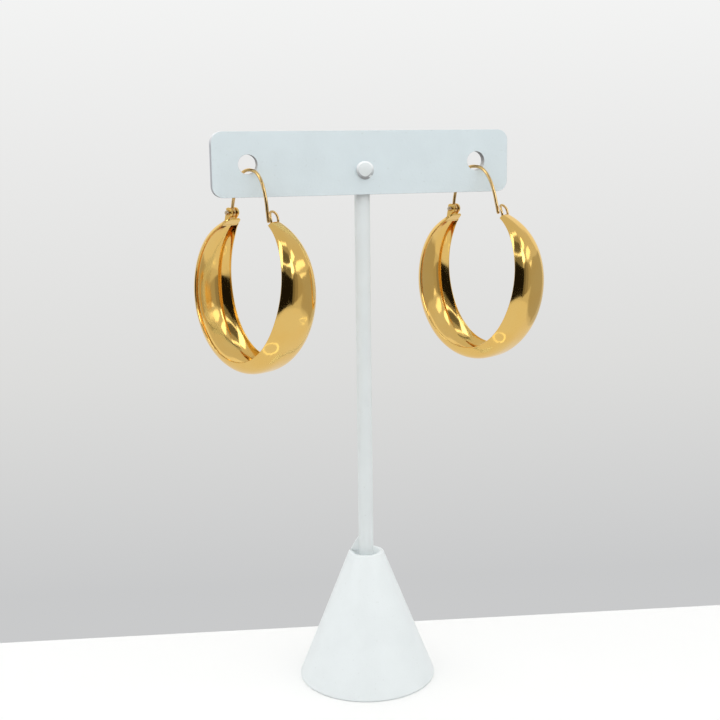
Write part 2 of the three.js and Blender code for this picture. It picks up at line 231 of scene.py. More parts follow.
def powder_coat(name, colour):
    """Powder paint with faint clouds, an orange peel surface and a few dull specks."""
    material, tree, shader = new_material(name, colour, 0.4)
    shader.inputs["Specular IOR Level"].default_value = 0.45
    clouds = ramp(tree, noise(tree, 150, 2),
                  [(0.35, shaded(colour, 0.985)), (0.65, shaded(colour, 1.012))])
    specks = ramp(tree, noise(tree, 1500, 1), [(0.7, (1, 1, 1)), (0.8, (0.93, 0.93, 0.92))])
    tinted = tree.nodes.new("ShaderNodeMix")
    tinted.data_type = "RGBA"
    tinted.blend_type = "MULTIPLY"
    tinted.inputs["Factor"].default_value = 1.0
    tree.links.new(clouds, tinted.inputs["A"])
    tree.links.new(specks, tinted.inputs["B"])
    tree.links.new(tinted.outputs["Result"], shader.inputs["Base Color"])
    rubbed(tree, shader, noise(tree, 500, 3), smooth=0.34, dull=0.48)
    bump(tree, shader, [(noise(tree, 2600, 2), 0.00004, 0.3), (noise(tree, 700, 2), 0.00008, 0.2)])
    return material


def rubbed(tree, shader, source, smooth, dull):
    """Lets the roughness wander between smooth and dull."""
    worn = tree.nodes.new("ShaderNodeMapRange")
    worn.inputs["From Min"].default_value = 0.35
    worn.inputs["From Max"].default_value = 0.75
    worn.inputs["To Min"].default_value = smooth
    worn.inputs["To Max"].default_value = dull
    tree.links.new(source, worn.inputs["Value"])
    tree.links.new(worn.outputs["Result"], shader.inputs["Roughness"])


def polished_gold(name, colour, roughness):
    """Polished gold plate with a slight unevenness from buffing and fine hairlines."""
    material, tree, shader = new_material(name, colour, roughness, 1.0)
    warm = tuple(c * k for c, k in zip(colour, (1.0, 0.96, 0.88)))
    tint = ramp(tree, noise(tree, 180, 3), [(0.35, warm), (0.65, colour)])
    tree.links.new(tint, shader.inputs["Base Color"])
    rubbed(tree, shader, noise(tree, 900, 4, (1, 1, 0.2)), smooth=roughness * 0.8, dull=roughness * 1.5)
    bump(tree, shader, [(noise(tree, 220, 1), 0.00003, 0.02), (noise(tree, 4000, 2), 0.000004, 0.03)])
    return material


def paint_shaded_by_height(name, low, high, stops):
    """Paint whose colour runs from the lower to the upper side of an edge: painted light and shade set by
    height.
    """
    material, tree, shader = new_material(name, (0.6, 0.63, 0.64), 0.5)
    place = tree.nodes.new("ShaderNodeTexCoord")
    split = tree.nodes.new("ShaderNodeSeparateXYZ")
    level = tree.nodes.new("ShaderNodeMapRange")
    level.inputs["From Min"].default_value = low
    level.inputs["From Max"].default_value = high
    tree.links.new(place.outputs["Object"], split.inputs["Vector"])
    tree.links.new(split.outputs["Z"], level.inputs["Value"])
    shade = ramp(tree, level.outputs["Result"], stops)
    tree.links.new(shade, shader.inputs["Base Color"])
    rubbed(tree, shader, noise(tree, 600, 3), smooth=0.42, dull=0.6)
    bump(tree, shader, [(noise(tree, 2200, 2), 0.00004, 0.3)])
    return material


# Painted shade on the rivet head's rim, dark below, with a painted highlight on its top
rivet_rim_painted_shade = paint_shaded_by_height("rivet_rim_painted_shade", RIVET_Z - RIVET_RADIUS, RIVET_Z + RIVET_RADIUS,
                             [(0.1, (0.30, 0.30, 0.31)), (0.4, (0.55, 0.58, 0.60)),
                              (0.8, (0.95, 0.97, 0.98))])
# One powder coat in three copies: the base copy made lighter as painted light, the bar copy darker and bluer
# as painted shade, the stand copy in between
shaded_bar_paint = powder_coat("shaded_bar_paint", (0.70, 0.785, 0.815))
stand_paint = powder_coat("stand_paint", (0.755, 0.80, 0.805))
lit_base_paint = powder_coat("lit_base_paint", (0.84, 0.89, 0.90))
# Painted shade on the bar's rim: a dark line along its bottom, darker sides and a painted highlight along its
# top
bar_rim_painted_shade = paint_shaded_by_height("bar_rim_painted_shade", BAR_Z - BAR_HEIGHT / 2, BAR_Z + BAR_HEIGHT / 2,
                           [(0.02, (0.08, 0.08, 0.08)), (0.12, (0.36, 0.37, 0.405)),
                            (0.8, (0.39, 0.40, 0.44)), (0.96, (0.93, 0.95, 0.97))])
# Painted shade inside the holes: each wall dark at its top and lighter lower down
hole_wall_painted_shade = paint_shaded_by_height("hole_wall_painted_shade", BAR_Z - HOLE_RADIUS, BAR_Z + HOLE_RADIUS,
                             [(0.1, (0.75, 0.77, 0.76)), (0.55, (0.35, 0.35, 0.36)),
                              (0.92, (0.10, 0.10, 0.105))])
hoop_gold = polished_gold("hoop_gold", (0.90, 0.605, 0.19), roughness=0.1)
wire_gold = polished_gold("wire_gold", (0.80, 0.56, 0.25), roughness=0.17)
pin_metal = polished_gold("pin_metal", (0.62, 0.52, 0.38), roughness=0.22)


# Making pieces

def keep_piece(name, bm, material, body=STAND, stands_for=()):
    """Turns a finished bmesh into a piece that rides on a body."""
    for face in bm.faces:
        face.smooth = True
    mesh = bpy.data.meshes.new(name)
    bm.to_mesh(mesh)
    bm.free()
    piece = bpy.data.objects.new(name, mesh)
    bpy.context.scene.collection.objects.link(piece)
    mesh.materials.append(material)
    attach(piece, body)
    if stands_for:
        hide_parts(*stands_for)
    return piece


def soften_edges(piece, width, segments=3, angle=30):
    """Rounds every edge sharper than the angle."""
    modifier = piece.modifiers.new("soft edges", "BEVEL")
    modifier.width = width
    modifier.segments = segments
    modifier.limit_method = "ANGLE"
    modifier.angle_limit = math.radians(angle)
    modifier.harden_normals = True
    return modifier


def outline(bm, points, closed=False):
    """A row of edges through the points."""
    verts = [bm.verts.new(p) for p in points]
    edges = [bm.edges.new(pair) for pair in zip(verts, verts[1:])]
    if closed:
        edges.append(bm.edges.new((verts[-1], verts[0])))
    return verts, edges


def spin_round(bm, geometry, axis=(0, 0, 1), centre=(0, 0, 0), steps=64):
    """A full turn, with its seam and poles closed and its faces pointing out."""
    bmesh.ops.spin(bm, geom=geometry, cent=centre, axis=axis, angle=math.tau, steps=steps, use_merge=True)
    bmesh.ops.remove_doubles(bm, verts=bm.verts, dist=1e-6)
    bmesh.ops.recalc_face_normals(bm, faces=bm.faces)


def new_verts(result):
    """The corners that an extrusion made."""
    return [item for item in result["geom"] if isinstance(item, bmesh.types.BMVert)]


def new_edges(result):
    """The edges that an extrusion made."""
    return [item for item in result["geom"] if isinstance(item, bmesh.types.BMEdge)]


def smooth_through(points, count):
    """Even steps along a smooth curve through the points."""
    points = [Vector(p) for p in points]
    ends = [points[0] * 2 - points[1], *points, points[-1] * 2 - points[-2]]
    curve = []
    for i in range(1, len(ends) - 2):
        before, start, stop, after = ends[i - 1:i + 3]
        knots = [0.0]
        for a, b in ((before, start), (start, stop), (stop, after)):
            knots.append(knots[-1] + math.sqrt((b - a).length))
        t0, t1, t2, t3 = knots
        for k in range(count):
            t = t1 + (t2 - t1) * k / count
            a1 = before.lerp(start, (t - t0) / (t1 - t0))
            a2 = start.lerp(stop, (t - t1) / (t2 - t1))
            a3 = stop.lerp(after, (t - t2) / (t3 - t2))
            b1 = a1.lerp(a2, (t - t0) / (t2 - t0))
            b2 = a2.lerp(a3, (t - t1) / (t3 - t1))
            curve.append(b1.lerp(b2, (t - t1) / (t2 - t1)))
    return [*curve, points[-1]]


def sweep(bm, edges, stations):
    """Carries a row of edges from station to station, leaving a skin behind it."""
    verts = list({vert for edge in edges for vert in edge.verts})
    bmesh.ops.transform(bm, matrix=stations[0], verts=verts)
    for last, station in zip(stations, stations[1:]):
        result = bmesh.ops.extrude_edge_only(bm, edges=edges)
        edges = new_edges(result)
        bmesh.ops.transform(bm, matrix=station @ last.inverted(), verts=new_verts(result))
    return edges


def wire_stations(points, radii=None):
    """A frame at each point, turned along the route without twisting."""
    stations = []
    turn = None
    facing = None
    for i, point in enumerate(points):
        along = (points[min(i + 1, len(points) - 1)] - points[max(i - 1, 0)]).normalized()
        if turn is None:
            turn = Vector((0, 0, 1)).rotation_difference(along)
        else:
            turn = facing.rotation_difference(along) @ turn
        facing = along
        scale = Matrix.Scale(radii[i] if radii else 1, 4)
        stations.append(Matrix.Translation(point) @ turn.to_matrix().to_4x4() @ scale)
    return stations


def add_wire(bm, points, radius, sides=14, round_tip=True):
    """A round wire along the points, with closed ends and a rounded tip."""
    radii = [1.0] * len(points)
    if round_tip:
        along = (points[-1] - points[-2]).normalized()
        last = points[-1].copy()
        for share in (0.35, 0.7, 0.92):
            points.append(last + along * radius * share)
            radii.append(math.sqrt(1 - share * share))
    ring = bmesh.ops.create_circle(bm, segments=sides, radius=radius)["verts"]
    edges = list({edge for vert in ring for edge in vert.link_edges})
    bmesh.ops.contextual_create(bm, geom=edges)
    edges = [edge for edge in edges if edge.is_valid]
    end = sweep(bm, edges, wire_stations(points, radii))
    bmesh.ops.contextual_create(bm, geom=end)


# Stand

def make_base():
    """Solid cone with a rounded foot and a ring-shaped lip around the pole's socket."""
    bm = bmesh.new()
    foot = FOOT_ROUNDING
    profile = [(0, 0), (BASE_RADIUS - foot, 0), (BASE_RADIUS - foot * 0.3, foot * 0.3),
               (BASE_RADIUS, foot),
               (BASE_TOP_RADIUS + 0.05 * MM, BASE_HEIGHT - 0.25 * MM),
               (BASE_TOP_RADIUS - 0.1 * MM, BASE_HEIGHT),
               (BASE_TOP_RADIUS - LIP_WIDTH, BASE_HEIGHT),
               (BASE_TOP_RADIUS - LIP_WIDTH - 0.2 * MM, BASE_HEIGHT - 0.2 * MM),
               (POLE_RADIUS + 0.25 * MM, BASE_HEIGHT - SOCKET_DEPTH), (0, BASE_HEIGHT - SOCKET_DEPTH)]
    verts, edges = outline(bm, [(x, 0, z) for x, z in profile])
    spin_round(bm, verts + edges, steps=128)
    piece = keep_piece("base_cone", bm, lit_base_paint, stands_for=("stand_cone",))
    soften_edges(piece, width=0.25 * MM, angle=25)


def make_pole():
    """Rod with a flat seat for the bar at its top and a small weld fin above the base."""
    bm = bmesh.new()
    bottom = BASE_HEIGHT - SOCKET_DEPTH - 0.1 * MM
    rod = bmesh.ops.create_cone(bm, cap_ends=True, segments=48, radius1=POLE_RADIUS, radius2=POLE_RADIUS,
                                depth=POLE_TOP - bottom)["verts"]
    bmesh.ops.translate(bm, verts=rod, vec=(0, 0, (POLE_TOP + bottom) / 2))
    bmesh.ops.bisect_plane(bm, geom=bm.verts[:] + bm.edges[:] + bm.faces[:], dist=1e-7,
                           plane_co=(0, 0, BAR_Z - BAR_HEIGHT / 2 - 0.3 * MM), plane_no=(0, 0, 1))
    high = [vert for vert in bm.verts if vert.co.z > BAR_Z - BAR_HEIGHT / 2]
    for vert in high:
        vert.co.y = max(vert.co.y, -POLE_SEAT)
    piece = keep_piece("pole_rod", bm, stand_paint, stands_for=("stand_pole",))
    soften_edges(piece, width=0.15 * MM, segments=2, angle=40)

    bm = bmesh.new()
    inner = POLE_RADIUS * 0.8
    verts, edges = outline(bm, [(inner, 0, 0), (FIN_REACH, 0, 0), (FIN_REACH - 0.5 * MM, 0, 1.0 * MM),
                                (inner, 0, FIN_HEIGHT)], closed=True)
    face = bmesh.ops.contextual_create(bm, geom=edges)["faces"]
    result = bmesh.ops.extrude_face_region(bm, geom=face)
    bmesh.ops.translate(bm, verts=new_verts(result), vec=(0, FIN_THICKNESS, 0))
    bmesh.ops.translate(bm, verts=bm.verts, vec=(0, -FIN_THICKNESS / 2, BASE_HEIGHT + 0.05 * MM))
    bmesh.ops.rotate(bm, verts=bm.verts, matrix=Matrix.Rotation(FIN_TURN, 3, "Z"))
    bmesh.ops.recalc_face_normals(bm, faces=bm.faces)
    piece = keep_piece("pole_fin", bm, stand_paint)
    soften_edges(piece, width=0.3 * MM, angle=40)


def make_bar():
    """Flat plate with rounded corners and a hole near each end."""
    bm = bmesh.new()
    sheet = bmesh.ops.create_grid(bm, x_segments=1, y_segments=1, size=0.5)["verts"]
    bmesh.ops.scale(bm, verts=sheet, vec=(BAR_LENGTH, BAR_HEIGHT, 1))
    bmesh.ops.bevel(bm, geom=sheet, offset=BAR_CORNER, offset_type="OFFSET", segments=10, profile=0.5,
                    affect="VERTICES", material=-1)
    bmesh.ops.delete(bm, geom=bm.faces[:], context="FACES_ONLY")
    for x in (-HOLE_X, HOLE_X):
        bmesh.ops.create_circle(bm, segments=48, radius=HOLE_RADIUS, matrix=Matrix.Translation((x, 0, 0)))
    bmesh.ops.triangle_fill(bm, use_beauty=True, use_dissolve=False, edges=bm.edges[:])
    result = bmesh.ops.extrude_face_region(bm, geom=bm.faces[:])
    bmesh.ops.translate(bm, verts=new_verts(result), vec=(0, 0, BAR_THICKNESS))
    bmesh.ops.recalc_face_normals(bm, faces=bm.faces)
    upright = Matrix.Translation((0, BAR_BACK, BAR_Z)) @ Matrix.Rotation(math.pi / 2, 4, "X")
    bmesh.ops.transform(bm, matrix=upright, verts=bm.verts)
    # Side faces take painted shade and highlight: the hole walls one material, the outer rim another
    for face in bm.faces:
        middle = face.calc_center_median()
        if abs(face.normal.y) < 0.5:
            off_ends = BAR_LENGTH / 2 - abs(middle.x) > 2 * MM
            off_edges = abs(middle.z - BAR_Z) < BAR_HEIGHT / 2 - 2 * MM
            face.material_index = 2 if off_ends and off_edges else 1
    piece = keep_piece("display_bar", bm, shaded_bar_paint, stands_for=("cross_bar",))
    piece.data.materials.append(bar_rim_painted_shade)
    piece.data.materials.append(hole_wall_painted_shade)
    rounding = soften_edges(piece, width=0.3 * MM, angle=50)
    # The rounded edges take the rim's painted shade and highlight
    rounding.material = 1


def make_rivet():
    """Painted rivet: a low, slightly crooked head in front and its tail behind the pole."""
    front = BAR_BACK - BAR_THICKNESS
    bm = bmesh.new()
    verts, edges = outline(bm, [(r * MM, y * MM, 0) for r, y in RIVET_OUTLINE])
    spin_round(bm, verts + edges, axis=(0, 1, 0), steps=20)
    for vert in bm.verts:
        if vert.co.y < front:
            low = max(-vert.co.z / RIVET_RADIUS, 0)
            high = max(vert.co.z / RIVET_RADIUS, 0)
            vert.co.x *= 1 - HEAD_NARROWING * low ** 2
            vert.co.z *= 1 - HEAD_FLATTENING * high
            vert.co.x -= HEAD_ASIDE
            vert.co.z += HEAD_LIFT
    bmesh.ops.translate(bm, verts=bm.verts, vec=(0, 0, RIVET_Z))
    bm.normal_update()
    # Rim faces of the head take the painted shade and highlight
    for face in bm.faces:
        if face.calc_center_median().y < front and abs(face.normal.y) < 0.75:
            face.material_index = 1
    piece = keep_piece("rivet_head", bm, stand_paint, stands_for=("bar_rivet",))
    piece.data.materials.append(rivet_rim_painted_shade)
    soften_edges(piece, width=0.2 * MM, segments=2, angle=40)


make_base()
make_pole()
make_bar()
make_rivet()


# Earrings

def oval_point(turn):
    """A point on the oval of the rims; zero is the lowest point."""
    low = (1 + math.cos(turn)) / 2
    across = OVAL_HALF_WIDTH * math.sin(turn) * (1 + OVAL_FULLNESS * (1 - low) ** 2)
    return Vector((across, -OVAL_HALF_HEIGHT * math.cos(turn), 0))


def oval_outward(turn):
    """The direction straight out of the oval."""
    along = oval_point(turn + 0.001) - oval_point(turn - 0.001)
    return Vector((along.y, -along.x, 0)).normalized()


class Earring:
    """Where one earring hangs. Its own plane is XY, with Z along the hinge pin."""

    def __init__(self, side):
        self.side = side
        tilt, close = HANGS[side]
        shares = list(STRIP_ALONG)
        shares[-1] = (shares[-1][0] + close, *shares[-1][1:])
        route = smooth_through([(turn * math.pi, width, dome) for turn, width, dome in shares], 20)
        self.stations = [(point.x, point.y * STRIP_HALF_WIDTH, point.z) for point in route]
        self.hinge_turn = self.stations[0][0]
        self.catch_turn = self.stations[-1][0]
        self.hinge_end = oval_point(self.hinge_turn)
        self.hinge_out = oval_outward(self.hinge_turn)
        self.catch_end = oval_point(self.catch_turn)
        past = Vector((self.hinge_out.y, -self.hinge_out.x, 0))
        self.pin = self.hinge_end + self.hinge_out * PIN_OUT + past * PIN_PAST
        joint = HINGES[f"{side}_wire"]
        turn = math.atan2(-joint["axis"][1], -joint["axis"][0])
        spun = (Matrix.Rotation(turn - math.pi / 2, 4, "Z") @ Matrix.Rotation(math.pi / 2, 4, "X")
                @ Matrix.Rotation(tilt, 4, "Z"))
        self.place = Matrix.Translation(Vector(joint["pos_m"]) - (spun @ self.pin)) @ spun

    def section(self, turn, height, half_width):
        """Frame of a strip section: X outwards, Y along the strip, Z across it."""
        out = oval_outward(turn)
        turned = Matrix.Rotation(math.atan2(out.y, out.x), 4, "Z")
        scaled = Matrix.Diagonal((height, 1, half_width, 1))
        return Matrix.Translation(oval_point(turn)) @ turned @ scaled

    def settle(self, bm):
        """Moves the piece from the earring's own plane to where it hangs."""
        bmesh.ops.transform(bm, matrix=self.place, verts=bm.verts)


def squared(value):
    """Moves a round section's coordinate out to the squared dome."""
    return math.copysign(abs(value) ** (2 / DOME_SQUARENESS), value)


def dome_arc(bm, steps):
    """The strip's section from rim to rim along Z, with a height and a half width of one."""
    low, wide = math.cos(DOME_CUT), math.sin(DOME_CUT)
    start = bm.verts.new((low, 0, -wide))
    bmesh.ops.spin(bm, geom=[start], cent=(0, 0, 0), axis=(0, 1, 0), angle=-2 * DOME_CUT, steps=steps)
    low, wide = squared(low), squared(wide)
    for vert in bm.verts:
        angle = math.atan2(vert.co.z, vert.co.x)
        angle = math.copysign(DOME_CUT * (abs(angle) / DOME_CUT) ** CROWN_CROWDING, angle)
        vert.co.x = (squared(math.cos(angle)) - low) / (1 - low)
        vert.co.z = squared(math.sin(angle)) / wide
    return bm.edges[:]


def make_strip(ring):
    """The domed strip: a thin wall, open towards the inside."""
    bm = bmesh.new()
    arc = dome_arc(bm, 36)
    sweep(bm, arc, [ring.section(turn, half * dome, half) for turn, half, dome in ring.stations])
    ring.settle(bm)
    bmesh.ops.recalc_face_normals(bm, faces=bm.faces)
    centre = ring.place.translation
    middle = max(bm.faces, key=lambda f: f.calc_area())
    if middle.normal.dot(middle.calc_center_median() - centre) < 0:
        bmesh.ops.reverse_faces(bm, faces=bm.faces)
    piece = keep_piece(f"{ring.side}_domed_strip", bm, hoop_gold, stands_for=(f"{ring.side}_hoop",))
    wall = piece.modifiers.new("wall", "SOLIDIFY")
    wall.thickness = STRIP_WALL
    wall.offset = -1
    wall.use_even_offset = True
    soften_edges(piece, width=0.13 * MM, angle=50)


def make_end_plate(ring, turn, back, name):
    """Small plate that closes one end of the strip, set a little back from its edge."""
    bm = bmesh.new()
    half, dome = (ring.stations[0] if back > 0 else ring.stations[-1])[1:]
    dome_arc(bm, 20)
    bmesh.ops.contextual_create(bm, geom=bm.verts[:])
    result = bmesh.ops.extrude_face_region(bm, geom=bm.faces[:])
    bmesh.ops.translate(bm, verts=new_verts(result), vec=(0, back * PLATE_THICKNESS, 0))
    bmesh.ops.translate(bm, verts=bm.verts, vec=(0, back * PLATE_SET_BACK, 0))
    inside = ring.section(turn, half * dome - PLATE_INSET, half - PLATE_INSET)
    bmesh.ops.transform(bm, matrix=inside, verts=bm.verts)
    bmesh.ops.recalc_face_normals(bm, faces=bm.faces)
    ring.settle(bm)
    piece = keep_piece(f"{ring.side}_{name}", bm, hoop_gold)
    soften_edges(piece, width=0.08 * MM, segments=2, angle=50)


def make_tab(ring):
    """The strip's hinge end runs on a little as a flat tab below the pin."""
    bm = bmesh.new()
    half = ring.stations[0][1]
    corners = [(past * MM, half * share) for past, share in TAB_OUTLINE]
    sheet = [(0, up, wide) for up, wide in corners] + [(0, up, -wide) for up, wide in reversed(corners)]
    verts, edges = outline(bm, sheet, closed=True)
    face = bmesh.ops.contextual_create(bm, geom=edges)["faces"]
    result = bmesh.ops.extrude_face_region(bm, geom=face)
    bmesh.ops.translate(bm, verts=new_verts(result), vec=(-TAB_THICKNESS, 0, 0))
    turned = Matrix.Rotation(math.atan2(-ring.hinge_out.y, -ring.hinge_out.x), 4, "Z")
    bmesh.ops.transform(bm, matrix=Matrix.Translation(ring.hinge_end) @ turned, verts=bm.verts)
    bmesh.ops.recalc_face_normals(bm, faces=bm.faces)
    ring.settle(bm)
    piece = keep_piece(f"{ring.side}_hinge_tab", bm, hoop_gold)
    soften_edges(piece, width=0.16 * MM, angle=40)


def make_lugs(ring):
    """Two rounded ears that carry the hinge pin."""
    bm = bmesh.new()
    dome = ring.stations[0][1] * ring.stations[0][2]
    for start in (LUG_START, -LUG_START - LUG_THICKNESS):
        top = bm.verts.new((-PIN_OUT + LUG_RADIUS, PIN_PAST, start))
        geometry = bmesh.ops.spin(bm, geom=[top], cent=(-PIN_OUT, PIN_PAST, start), axis=(0, 0, 1),
                                  angle=math.pi, steps=16)["geom_last"]
        last = next(item for item in geometry if isinstance(item, bmesh.types.BMVert))
        foot_out = bm.verts.new((-dome + LUG_FOOT_INSET, -LUG_FOOT_DEPTH, start))
        foot_in = bm.verts.new((-LUG_FOOT_INSIDE, -LUG_FOOT_DEPTH, start))
        for pair in ((last, foot_out), (foot_out, foot_in), (foot_in, top)):
            bm.edges.new(pair)
        loop = [edge for edge in bm.edges if not edge.link_faces and abs(edge.verts[0].co.z - start) < 1e-9]
        face = bmesh.ops.contextual_create(bm, geom=loop)["faces"]
        result = bmesh.ops.extrude_face_region(bm, geom=face)
        bmesh.ops.translate(bm, verts=new_verts(result), vec=(0, 0, LUG_THICKNESS))
    turned = Matrix.Rotation(math.atan2(-ring.hinge_out.y, -ring.hinge_out.x), 4, "Z")
    bmesh.ops.transform(bm, matrix=Matrix.Translation(ring.hinge_end) @ turned, verts=bm.verts)
    bmesh.ops.recalc_face_normals(bm, faces=bm.faces)
    ring.settle(bm)
    piece = keep_piece(f"{ring.side}_hinge_lugs", bm, hoop_gold)
    soften_edges(piece, width=0.14 * MM, angle=40)


def make_catch(ring):
    """Upright loop of thin wire; the ear wire's tip stops just short of it."""
    bm = bmesh.new()
    root = ring.catch_end + oval_outward(ring.catch_turn) * CATCH_WIRE_RADIUS
    points = [root + Vector((-CATCH_LEAN * up ** 2, CATCH_HEIGHT * up, CATCH_HALF_WIDTH * side))
              for up, side in CATCH_ALONG]
    add_wire(bm, smooth_through(points, 5), CATCH_WIRE_RADIUS, 12, round_tip=False)
    bmesh.ops.recalc_face_normals(bm, faces=bm.faces)
    ring.settle(bm)
    keep_piece(f"{ring.side}_catch_loop", bm, wire_gold)


def make_pin(ring):
    """Hinge pin with a small domed head at each end."""
    bm = bmesh.new()
    half = LUG_START + LUG_THICKNESS
    tail = [(r * MM, -half - past * MM) for r, past in PIN_TAIL]
    head = [(r * MM, half + past * MM) for r, past in PIN_HEAD]
    profile = [*tail, (PIN_RADIUS, -half), (PIN_RADIUS, half), *head]
    verts, edges = outline(bm, [(x, 0, z) for x, z in profile])
    spin_round(bm, verts + edges, steps=24)
    bmesh.ops.translate(bm, verts=bm.verts, vec=ring.pin)
    ring.settle(bm)
    piece = keep_piece(f"{ring.side}_pin", bm, pin_metal, stands_for=(f"{ring.side}_hinge_pin",))
    soften_edges(piece, width=0.08 * MM, segments=2, angle=35)


def make_ear_wire(ring):
    """Arched wire with an eye around the hinge pin."""
    bm = bmesh.new()
    reach = ring.catch_end.x - TIP_BACK - ring.pin.x
    points = [ring.pin + Vector((along * reach, up * WIRE_RISE, 0)) for along, up in WIRE_ALONG]
    add_wire(bm, smooth_through(points, 8), WIRE_RADIUS, 16)
    eye = bmesh.ops.create_circle(bm, segments=14, radius=WIRE_RADIUS,
                                  matrix=Matrix.Translation(ring.pin + Vector((EYE_RADIUS, 0, 0)))
                                  @ Matrix.Rotation(math.pi / 2, 4, "X"))["verts"]
    rim = list({edge for vert in eye for edge in vert.link_edges})
    bmesh.ops.spin(bm, geom=eye + rim, cent=ring.pin, axis=(0, 0, 1), angle=math.tau, steps=28,
                   use_merge=True)
    bmesh.ops.remove_doubles(bm, verts=bm.verts, dist=1e-7)
    bmesh.ops.recalc_face_normals(bm, faces=bm.faces)
    ring.settle(bm)
    keep_piece(f"{ring.side}_hook_wire", bm, wire_gold, body=f"{ring.side}_wire",
               stands_for=(f"{ring.side}_ear_wire",))


for side in ("left", "right"):
    ring = Earring(side)
    make_strip(ring)
    make_end_plate(ring, ring.hinge_turn, 1, "hinge_end_plate")
    make_end_plate(ring, ring.catch_turn, -1, "catch_end_plate")
    make_tab(ring)
    make_lugs(ring)
    make_catch(ring)
    make_pin(ring)
    make_ear_wire(ring)


# Table, backdrop and the studio round it

STUDIO_CENTRE = Vector((0, 0, 0.105))
STUDIO_RADIUS = 0.5
TABLE_EDGE = Vector((0.0079, 0.0302, 0))
TABLE_EDGE_TURN = math.radians(-12.63)
TABLE_REACH = 1.2
TABLE_HALF_WIDTH = 1.5
BACKDROP_AWAY = 0.7
BACKDROP_HALF_WIDTH = 2.2
BACKDROP_LOW = -0.7
BACKDROP_HIGH = 1.2
SHADE_LOW = -0.26
SHADE_HIGH = 0.32
ROOM_LIGHT = 0.66


def link_stage(name, bm, material):
    """Turns a finished bmesh into a part of the stage."""
    mesh = bpy.data.meshes.new(name)
    bm.to_mesh(mesh)
    bm.free()
    sheet = bpy.data.objects.new(name, mesh)
    bpy.context.scene.collection.objects.link(sheet)
    mesh.materials.append(material)
    return sheet


def plain_sheet(corners):
    """A single face through four corners."""
    bm = bmesh.new()
    bmesh.ops.contextual_create(bm, geom=outline(bm, corners, closed=True)[1])
    return bm


def from_table_edge(along, away, up=0.0):
    """A place measured from the table's far edge."""
    turned = Matrix.Rotation(TABLE_EDGE_TURN, 3, "Z")
    return TABLE_EDGE + turned @ Vector((along, away, 0)) + Vector((0, 0, up))


def make_table():
    """White paper that stays out of the gold, where a panel stands in for it."""
    material = new_material("table_paper", (0.98, 0.985, 0.98), 0.8)[0]
    corners = [from_table_edge(-TABLE_HALF_WIDTH, -TABLE_REACH),
               from_table_edge(TABLE_HALF_WIDTH, -TABLE_REACH),
               from_table_edge(TABLE_HALF_WIDTH, 0),
               from_table_edge(-TABLE_HALF_WIDTH, 0)]
    sheet = link_stage("table_top", plain_sheet(corners), material)
    sheet.visible_glossy = False


def make_backdrop():
    """A pale sheet far behind the stand that glows as painted light, brighter towards its top, with painted
    shade towards its bottom.
    """
    material, tree, shader = new_material("backdrop_paper", (0, 0, 0), 1.0)
    place = tree.nodes.new("ShaderNodeTexCoord")
    split = tree.nodes.new("ShaderNodeSeparateXYZ")
    level = tree.nodes.new("ShaderNodeMapRange")
    level.inputs["From Min"].default_value = SHADE_LOW
    level.inputs["From Max"].default_value = SHADE_HIGH
    tree.links.new(place.outputs["Object"], split.inputs["Vector"])
    tree.links.new(split.outputs["Z"], level.inputs["Value"])
    # Painted light and shade: the glow darkens towards the table
    glow = ramp(tree, level.outputs["Result"], [(0.0, (0.585, 0.59, 0.595)), (0.35, (0.725, 0.725, 0.715)),
                                                (0.7, (0.83, 0.83, 0.825)), (1.0, (0.93, 0.935, 0.93))])
    tree.links.new(glow, shader.inputs["Emission Color"])
    shader.inputs["Emission Strength"].default_value = 1.0
    shader.inputs["Specular IOR Level"].default_value = 0.0
    corners = [from_table_edge(-BACKDROP_HALF_WIDTH, BACKDROP_AWAY, BACKDROP_LOW),
               from_table_edge(BACKDROP_HALF_WIDTH, BACKDROP_AWAY, BACKDROP_LOW),
               from_table_edge(BACKDROP_HALF_WIDTH, BACKDROP_AWAY, BACKDROP_HIGH),
               from_table_edge(-BACKDROP_HALF_WIDTH, BACKDROP_AWAY, BACKDROP_HIGH)]
    link_stage("backdrop", plain_sheet(corners), material)


def studio_point(azimuth, elevation, centre=STUDIO_CENTRE, radius=STUDIO_RADIUS):
    """A place round the earrings: azimuth 0 is towards the camera, positive to its right."""
    turn = CAMERA_TURN + math.radians(azimuth)
    rise = math.radians(elevation)
    return centre + radius * Vector((math.sin(turn) * math.cos(rise), -math.cos(turn) * math.cos(rise),
                                     math.sin(rise)))


def studio_panel(name, lower, upper, brightness, tint=(1, 1, 1), lights_paint=False, steps=48,
                 centre=STUDIO_CENTRE, radius=STUDIO_RADIUS):
    """A curved panel between two lines of (azimuth, elevation) points.

    It shows in the polished metal only, or, where it lights the paint, in the paint only.
    """
    bm = bmesh.new()
    rows = []
    for line in (lower, upper):
        points = []
        for i in range(steps + 1):
            share = i / steps * (len(line) - 1)
            k = min(int(share), len(line) - 2)
            azimuth, elevation = (a + (b - a) * (share - k) for a, b in zip(line[k], line[k + 1]))
            points.append(studio_point(azimuth, elevation, centre, radius))
        rows.append(outline(bm, points)[1])
    bmesh.ops.bridge_loops(bm, edges=rows[0] + rows[1])
    material, _, shader = new_material(name, (0, 0, 0), 1.0)
    shader.inputs["Specular IOR Level"].default_value = 0.0
    shader.inputs["Emission Color"].default_value = (*tint, 1)
    shader.inputs["Emission Strength"].default_value = brightness
    sheet = link_stage(name, bm, material)
    sheet.visible_camera = False
    sheet.visible_diffuse = lights_paint
    sheet.visible_glossy = not lights_paint


